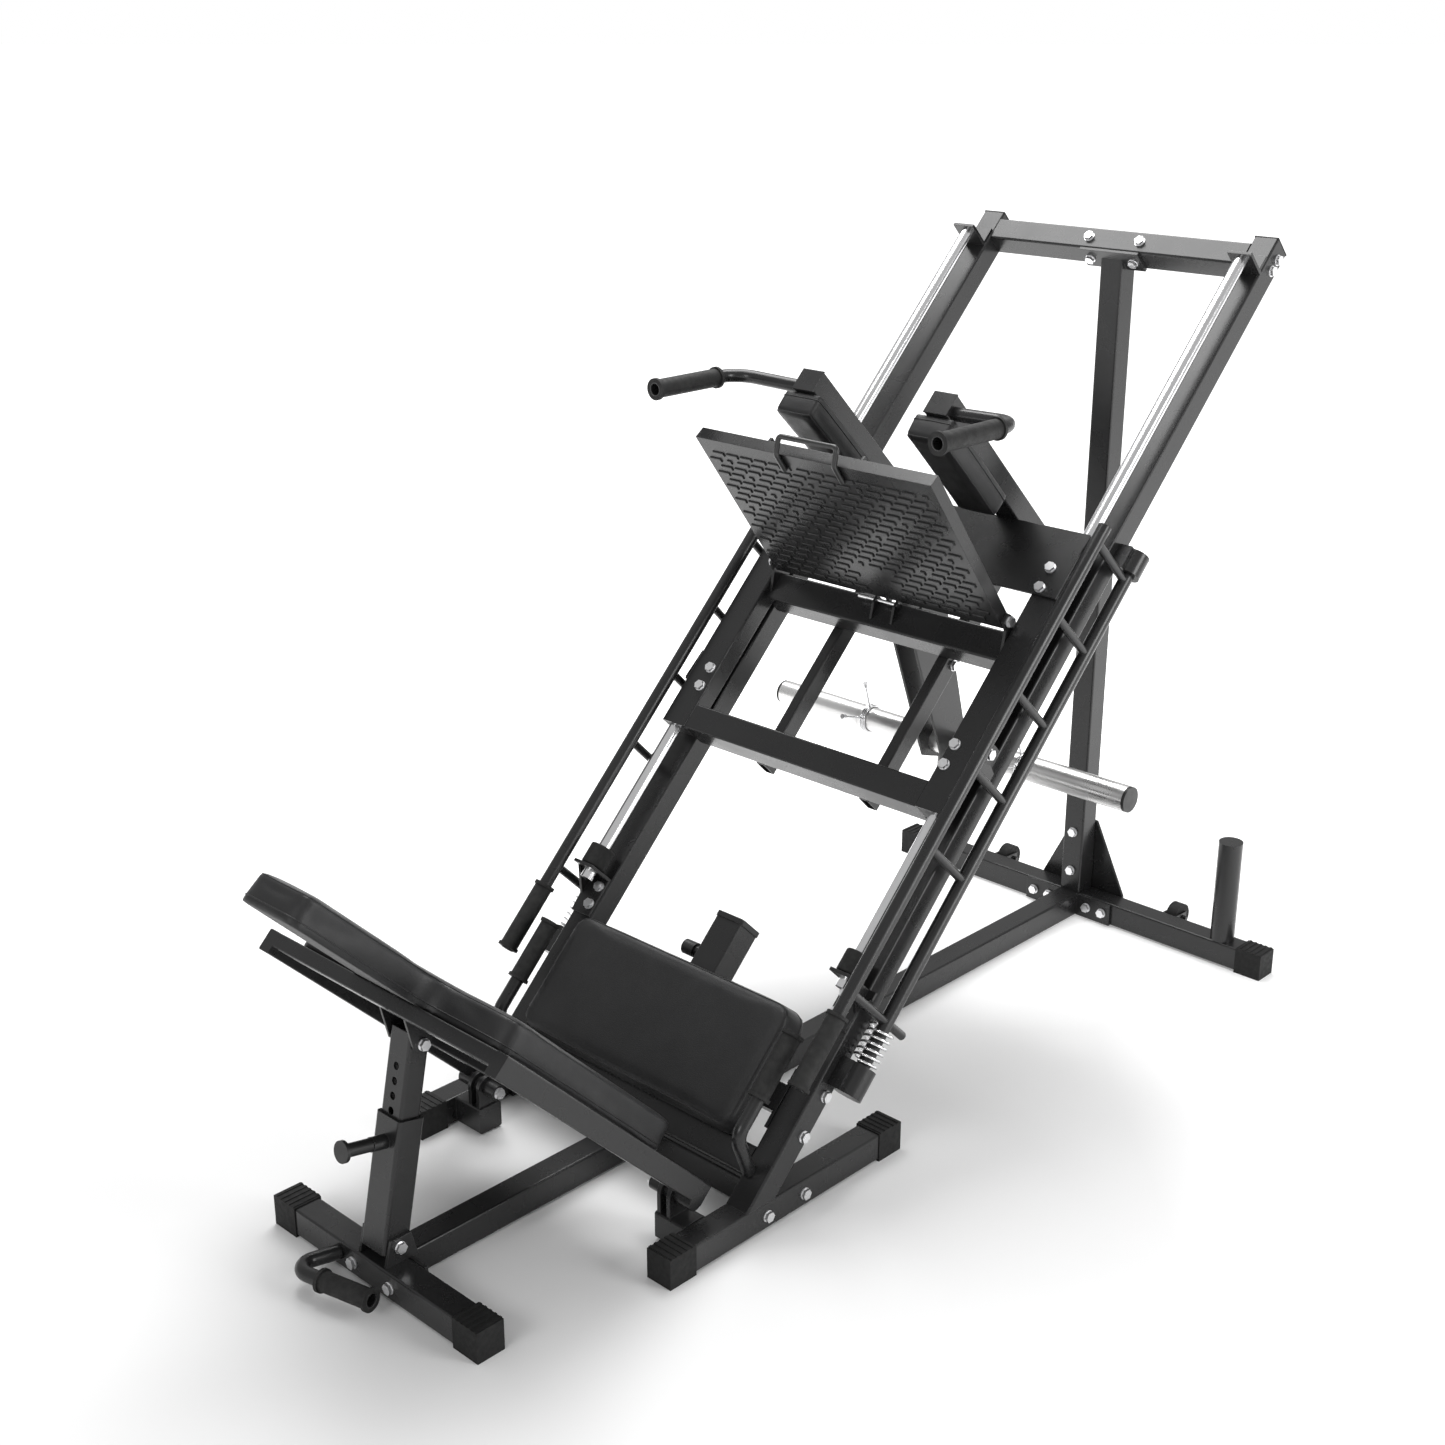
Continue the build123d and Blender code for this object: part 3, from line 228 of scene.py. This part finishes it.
def moulded(name, tone):
    """Black moulded plastic with a fine spark-eroded texture."""
    n = Nodes(name)
    color = n.mix(n.ramp(n.noise(25, 4), 0.35, 0.65, 0, 1), (tone, tone, tone), (tone * 1.5, tone * 1.5, tone * 1.5))
    normal = n.bump(n.noise(1300, 2), 0.2, 0.0003)
    return n.finish(color, n.ramp(n.noise(60, 3), 0.3, 0.7, 0.36, 0.5), normal)


def board_cloth(name):
    """Black backing cloth stapled over a board: a plain weave."""
    n = Nodes(name)
    waves = []
    for direction in ("X", "Z"):
        wave = n.add("ShaderNodeTexWave", bands_direction=direction)
        wave.inputs["Scale"].default_value = 260
        wave.inputs["Distortion"].default_value = 0.4
        n.join(n.position, wave.inputs["Vector"])
        waves.append(wave.outputs["Fac"])
    weave = n.add("ShaderNodeMath", operation="MULTIPLY")
    n.join(waves[0], weave.inputs[0])
    n.join(waves[1], weave.inputs[1])
    color = n.mix(weave.outputs["Value"], (0.012, 0.012, 0.012), (0.03, 0.03, 0.03))
    return n.finish(color, 0.85, n.bump(weave.outputs["Value"], 0.4, 0.0004), Sheen_Weight=0.2)


MATERIALS = {
    "frame_paint": powder_coat("satin_powder_coat", (0.0125, 0.0125, 0.0128), (0.0145, 0.0145, 0.0148)),
    "tread_paint": powder_coat("tread_powder_coat", (0.011, 0.011, 0.0112), (0.0135, 0.0135, 0.0138)),
    "rubber": rubber("moulded_rubber", 0.0065),
    "grip": grip_foam("grip_rubber"),
    "chrome": polished("hard_chrome", (0.93, 0.93, 0.94), 0.14, 0.22, (1, 1, 0.04), 0.03),
    "horn_steel": polished("plated_steel", (0.86, 0.855, 0.85), 0.24, 0.4, (0.03, 1, 1), 0.14),
    "zinc": polished("bright_zinc", (0.92, 0.92, 0.93), 0.26, 0.38, (1, 1, 1), 0.1),
    "vinyl": vinyl("upholstery_vinyl"),
    "plywood": board_cloth("backing_cloth"),
    "bushing_plastic": moulded("bushing_plastic", 0.009),
    "knob_plastic": moulded("knob_plastic", 0.008),
    "dark_wire": powder_coat("dark_wire", (0.02, 0.02, 0.02), (0.03, 0.03, 0.03)),
}
FINISHES = {"handle_grips": "grip", "shoulder_grips": "grip", "ladder_grip_left": "grip",
            "ladder_grip_right": "grip", "footplate_handle": "dark_wire"}


def finish_cad_nodes():
    """Gives every CAD node the material of its record slot, or the finish listed for it in FINISHES."""
    for entry in frame["record"]["subparts"]:
        node = frame["nodes"][entry["node"]]
        material = MATERIALS[FINISHES.get(entry["node"], entry["material_slot"])]
        if not node.material_slots:
            node.data.materials.append(material)
        for slot in node.material_slots:
            slot.material = material


finish_cad_nodes()


# ------------------------------------------------------------ upholstery
def rounded(corners, radius, steps=7):
    """Turns corner points, each with its own radius, into a smooth closed outline."""
    outline = []
    count = len(corners)
    for i, corner in enumerate(corners):
        before = (Vector(corners[i - 1]) - Vector(corner)).normalized()
        after = (Vector(corners[(i + 1) % count]) - Vector(corner)).normalized()
        size = radius[i] if isinstance(radius, (list, tuple)) else radius
        start = Vector(corner) + before * size
        end = Vector(corner) + after * size
        for step in range(steps + 1):
            t = step / steps
            outline.append(start * (1 - t) ** 2 + Vector(corner) * 2 * t * (1 - t) + end * t ** 2)
    return outline


def cushion(name, nodes, body, face, axis_a, axis_b, outline, cap, voxel=0.0045):
    """Builds a boxed, stuffed pad over its CAD nodes: an outline in axis_a and axis_b, raised along face."""
    reach = [span(node, face) for node in nodes]
    back = min(low for low, high in reach)
    front = max(high for low, high in reach)
    origin = face * back
    form = bmesh.new()
    ring = [form.verts.new(origin + axis_a * p.x + axis_b * p.y + face * 0.0005) for p in outline]
    raised = bmesh.ops.extrude_face_region(form, geom=[form.faces.new(ring)])["geom"]
    top = [item for item in raised if isinstance(item, bmesh.types.BMVert)]
    bmesh.ops.translate(form, verts=top, vec=face * (front - back - 0.002))
    bmesh.ops.recalc_face_normals(form, faces=form.faces)
    rims = [edge for edge in form.edges if all(v in top for v in edge.verts)]
    bmesh.ops.bevel(form, geom=rims, offset=0.004, segments=2, affect="EDGES", clamp_overlap=True)
    mesh = bpy.data.meshes.new(name)
    form.to_mesh(mesh)
    form.free()
    pad = bpy.data.objects.new(name, mesh)
    scene.collection.objects.link(pad)
    remesh = pad.modifiers.new("remesh", "REMESH")
    remesh.mode = "VOXEL"
    remesh.voxel_size = voxel
    apply(pad)
    inflate(pad, origin, face, cap)
    smooth = pad.modifiers.new("smooth", "SMOOTH")
    smooth.factor = 0.5
    smooth.iterations = 3
    subdivide = pad.modifiers.new("subdivide", "SUBSURF")
    subdivide.levels = subdivide.render_levels = 1
    apply(pad)
    dress(pad, origin, face)
    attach(pad, body)
    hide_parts(*nodes)
    rim = [origin + axis_a * p.x + axis_b * p.y + face * (front - back) for p in outline]
    seam(name + "_seam", body, pad, rim)
    foot = [origin + axis_a * p.x + axis_b * p.y + face * 0.012 for p in outline]
    seam(name + "_tuck", body, pad, foot)


def dress(pad, origin, face):
    """Vinyl on the pad, and backing cloth on the side that lies on the frame."""
    pad.data.materials.append(MATERIALS["vinyl"])
    pad.data.materials.append(MATERIALS["plywood"])
    for polygon in pad.data.polygons:
        polygon.use_smooth = True
        if polygon.normal.dot(face) < -0.8 and (polygon.center - origin).dot(face) < 0.006:
            polygon.material_index = 1


def seam(name, body, pad, rim, radius=0.0011, sides=8):
    """Lays a closed bead of stitched welt on the pad's surface along a rim line."""
    pad_surface = BVHTree.FromObject(pad, bpy.context.evaluated_depsgraph_get())
    line = []
    for start, end in zip(rim, rim[1:] + rim[:1]):
        steps = max(1, int((end - start).length / 0.012))
        line += [pad_surface.find_nearest(start.lerp(end, step / steps))[0] for step in range(steps)]
    form = bmesh.new()
    rings = []
    for i, point in enumerate(line):
        along = (line[(i + 1) % len(line)] - line[i - 1]).normalized()
        side = along.orthogonal().normalized()
        other = along.cross(side)
        swell = radius * (1.12 if i % 2 else 1.0)
        rings.append([form.verts.new(point + (side * math.cos(a) + other * math.sin(a)) * swell)
                      for a in (2 * math.pi * k / sides for k in range(sides))])
    for ring, following in zip(rings, rings[1:] + rings[:1]):
        turn = min(range(sides), key=lambda k: (following[k].co - ring[0].co).length)
        for k in range(sides):
            form.faces.new((ring[k], ring[(k + 1) % sides],
                            following[(k + 1 + turn) % sides], following[(k + turn) % sides]))
    mesh = bpy.data.meshes.new(name)
    form.to_mesh(mesh)
    form.free()
    mesh.polygons.foreach_set("use_smooth", [True] * len(mesh.polygons))
    mesh.materials.append(MATERIALS["vinyl"])
    bead = bpy.data.objects.new(name, mesh)
    scene.collection.objects.link(bead)
    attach(bead, body)


def apply(piece):
    """Bakes every modifier of a piece into its mesh."""
    graph = bpy.context.evaluated_depsgraph_get()
    baked = bpy.data.meshes.new_from_object(piece.evaluated_get(graph))
    piece.modifiers.clear()
    piece.data = baked


def inflate(pad, origin, normal, cap):
    """Swells a pad with a short cloth simulation, held flat where it sits on its board."""
    rest = [vertex.co.copy() for vertex in pad.data.vertices]
    pinned = pad.vertex_groups.new(name="board")
    pinned.add([i for i, co in enumerate(rest) if (co - origin).dot(normal) < 0.008], 1.0, "REPLACE")
    cloth = pad.modifiers.new("cloth", "CLOTH")
    cloth.settings.use_pressure = True
    cloth.settings.uniform_pressure_force = 4
    cloth.settings.effector_weights.gravity = 0
    cloth.settings.vertex_group_mass = "board"
    cloth.point_cache.frame_start = 1
    cloth.point_cache.frame_end = 20
    ease = pad.modifiers.new("ease", "CORRECTIVE_SMOOTH")
    ease.factor = 0.5
    ease.iterations = 30
    for step in range(1, 21):
        scene.frame_set(step)
    apply(pad)
    for vertex, start in zip(pad.data.vertices, rest):
        move = vertex.co - start
        if move.length > cap:
            vertex.co = start + move.normalized() * cap
    scene.frame_set(1)


def rectangle(node, axis_a, axis_b, radius, inset=0.002):
    """Outline of a rectangular pad from its CAD node."""
    a = span(node, axis_a, -inset)
    b = span(node, axis_b, -inset)
    return rounded([(a[0], b[0]), (a[1], b[0]), (a[1], b[1]), (a[0], b[1])], radius)


def upholster():
    cushion("seat_cushion", ["seat_pad", "seat_board"], "frame", OUT, ACROSS, ALONG,
            rectangle("seat_pad", ACROSS, ALONG, 0.036), 0.003)
    half = span("backrest_pad", ACROSS, -0.002)[1]
    low, high = span("backrest_pad", OUT, -0.002)
    neck = 0.070
    shoulder = low + 0.461
    corners = [(half, low), (half, shoulder), (neck, shoulder), (neck, high),
               (-neck, high), (-neck, shoulder), (-half, shoulder), (-half, low)]
    radii = [0.042, 0.042, 0.055, 0.028, 0.028, 0.055, 0.042, 0.042]
    cushion("back_cushion", ["backrest_pad", "backrest_board"], "backrest", ALONG, ACROSS, OUT,
            rounded(corners, radii), 0.003)
    for side in ("left", "right"):
        node = "shoulder_pad_" + side
        cushion("shoulder_cushion_" + side, [node], "carriage", -ALONG, ACROSS, OUT,
                rectangle(node, ACROSS, OUT, 0.008), 0.0025, voxel=0.004)


upholster()


# ------------------------------------------------------------ footplate tread
def tread_pattern():
    """Raised anti-slip bars in staggered rows with small studs between them."""
    hinge = Vector(joints["footplate_fold"]["pos_m"])
    body = frame["nodes"]["footplate"].data
    faces = [face for face in body.polygons if face.normal.dot(ALONG) < -0.9]
    normal = max(faces, key=lambda face: face.area).normal.normalized()
    up = normal.cross(ACROSS).normalized()
    face_at = max((vertex.co - hinge).dot(normal) for vertex in body.vertices
                  if (vertex.co - hinge).dot(up) > 0.03)
    reach_up = max((vertex.co - hinge).dot(up) for vertex in body.vertices)
    half = span("footplate", ACROSS)[1]
    # The latch's plates stand close to the folding tread, so the bars leave room for them.
    latch = [vertex.co - hinge for vertex in frame["nodes"]["footplate_hinges"].data.vertices
             if abs(vertex.co.x) < half / 2]
    latch_half = max(point.x for point in latch)
    latch_reach = max(point.length for point in latch)
    form = bmesh.new()
    pitch_x, pitch_y = 0.034, 0.0185
    rows = int((reach_up - 0.02) / pitch_y)
    for row in range(rows):
        y = 0.012 + row * pitch_y
        shift = pitch_x / 2 if row % 2 else 0
        columns = int((2 * half - 0.03) / pitch_x)
        for column in range(columns):
            x = -half + 0.022 + column * pitch_x + shift
            if x > half - 0.016 or (abs(x) < latch_half + 0.017 and y < latch_reach + 0.008):
                continue
            stud = (row + 2 * column) % 9 == 0
            size = (0.0052, 0.0052) if stud else (0.0138, 0.0050)
            centre = hinge + ACROSS * x + up * y + normal * face_at
            raised_bar(form, centre, size, up, normal)
    mesh = bpy.data.meshes.new("tread_bars")
    form.to_mesh(mesh)
    form.free()
    bars = bpy.data.objects.new("tread_bars", mesh)
    scene.collection.objects.link(bars)
    mesh.materials.append(MATERIALS["tread_paint"])
    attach(bars, "footplate")


def raised_bar(form, centre, size, up, normal):
    """Adds one low bar with sloping sides."""
    rings = []
    for height, grow in ((-0.0005, 1.0), (0.0019, 0.84), (0.0026, 0.62)):
        ring = []
        for sx, sy in ((-1, -1), (1, -1), (1, 1), (-1, 1)):
            offset = ACROSS * (sx * (size[0] - (1 - grow) * 0.004)) + up * (sy * size[1] * grow)
            ring.append(form.verts.new(centre + offset + normal * height))
        rings.append(ring)
    for lower, upper in zip(rings, rings[1:]):
        for i in range(4):
            form.faces.new((lower[i], lower[(i + 1) % 4], upper[(i + 1) % 4], upper[i]))
    form.faces.new(rings[-1])


tread_pattern()


# ------------------------------------------------------------ studio
def add_floor():
    """A plain pale floor with a painted glow: its emission rises with distance and fades it to white behind the
    machine.
    """
    n = Nodes("studio_floor")
    color = n.mix(n.ramp(n.noise(1.5, 3), 0.3, 0.7, 0, 1), (0.80, 0.80, 0.80), (0.82, 0.82, 0.82))
    split = n.add("ShaderNodeSeparateXYZ")
    n.join(n.position, split.inputs["Vector"])
    behind = n.add("ShaderNodeMath", operation="SUBTRACT")
    n.join(split.outputs["Y"], behind.inputs[0])
    n.join(split.outputs["X"], behind.inputs[1])
    across = n.add("ShaderNodeMath", operation="ADD")
    n.join(split.outputs["Y"], across.inputs[0])
    n.join(split.outputs["X"], across.inputs[1])
    far = n.add("ShaderNodeMath", operation="MAXIMUM")
    n.join(n.ramp(behind.outputs["Value"], 0.2, 2.6, 0, 1), far.inputs[0])
    n.join(n.ramp(across.outputs["Value"], 0.9, 3.0, 0, 1), far.inputs[1])
    wide = n.add("ShaderNodeMath", operation="MAXIMUM")
    n.join(far.outputs["Value"], wide.inputs[0])
    radius = n.add("ShaderNodeVectorMath", operation="LENGTH")
    n.join(n.position, radius.inputs[0])
    n.join(n.ramp(radius.outputs["Value"], 2.4, 5.5, 0, 1), wide.inputs[1])
    # Painted light: the floor's emission grows with distance behind, beside and away from the machine, a glow that
    # fades it to white.
    painted_glow = n.ramp(wide.outputs["Value"], 0, 1, 0, 1)
    material = n.finish(color, 0.9, n.bump(n.noise(300, 3), 0.02, 0.0005), Specular_IOR_Level=0.1,
                        Emission_Color=(1, 1, 1, 1))
    n.join(painted_glow, n.shader.inputs["Emission Strength"])
    form = bmesh.new()
    size = 60
    corners = [form.verts.new((x, y, 0)) for x, y in ((-size, -size), (size, -size), (size, size), (-size, size))]
    form.faces.new(corners)
    mesh = bpy.data.meshes.new("studio_floor")
    form.to_mesh(mesh)
    form.free()
    floor = bpy.data.objects.new("studio_floor", mesh)
    scene.collection.objects.link(floor)
    mesh.materials.append(material)


def add_light(name, place, target, size, power):
    light = bpy.data.lights.new(name, "AREA")
    light.shape = "RECTANGLE"
    light.size, light.size_y = size
    light.energy = power
    lamp = bpy.data.objects.new(name, light)
    lamp.location = place
    lamp.rotation_euler = (Vector(target) - Vector(place)).to_track_quat("-Z", "Y").to_euler()
    scene.collection.objects.link(lamp)


def light_studio():
    world = bpy.data.worlds.new("studio")
    world.use_nodes = True
    nodes = world.node_tree.nodes
    backdrop = nodes["Background"]
    backdrop.inputs["Color"].default_value = (1, 1, 1, 1)
    path = nodes.new("ShaderNodeLightPath")
    strength = nodes.new("ShaderNodeMapRange")
    strength.inputs["To Min"].default_value = 0.48
    strength.inputs["To Max"].default_value = 1.0
    world.node_tree.links.new(path.outputs["Is Camera Ray"], strength.inputs["Value"])
    world.node_tree.links.new(strength.outputs["Result"], backdrop.inputs["Strength"])
    scene.world = world
    scene.view_settings.view_transform = "Standard"
    add_light("overhead", (-1.2, 1.2, 4.4), (0, 0.1, 0), (3.2, 3.2), 210)
    add_light("side", (4.2, 0.9, 1.9), (0, 0.2, 0.6), (1.6, 2.4), 95)
    add_light("front", (0.6, -4.4, 2.6), (0, -0.4, 0.5), (2.0, 1.2), 45)


add_floor()
light_studio()
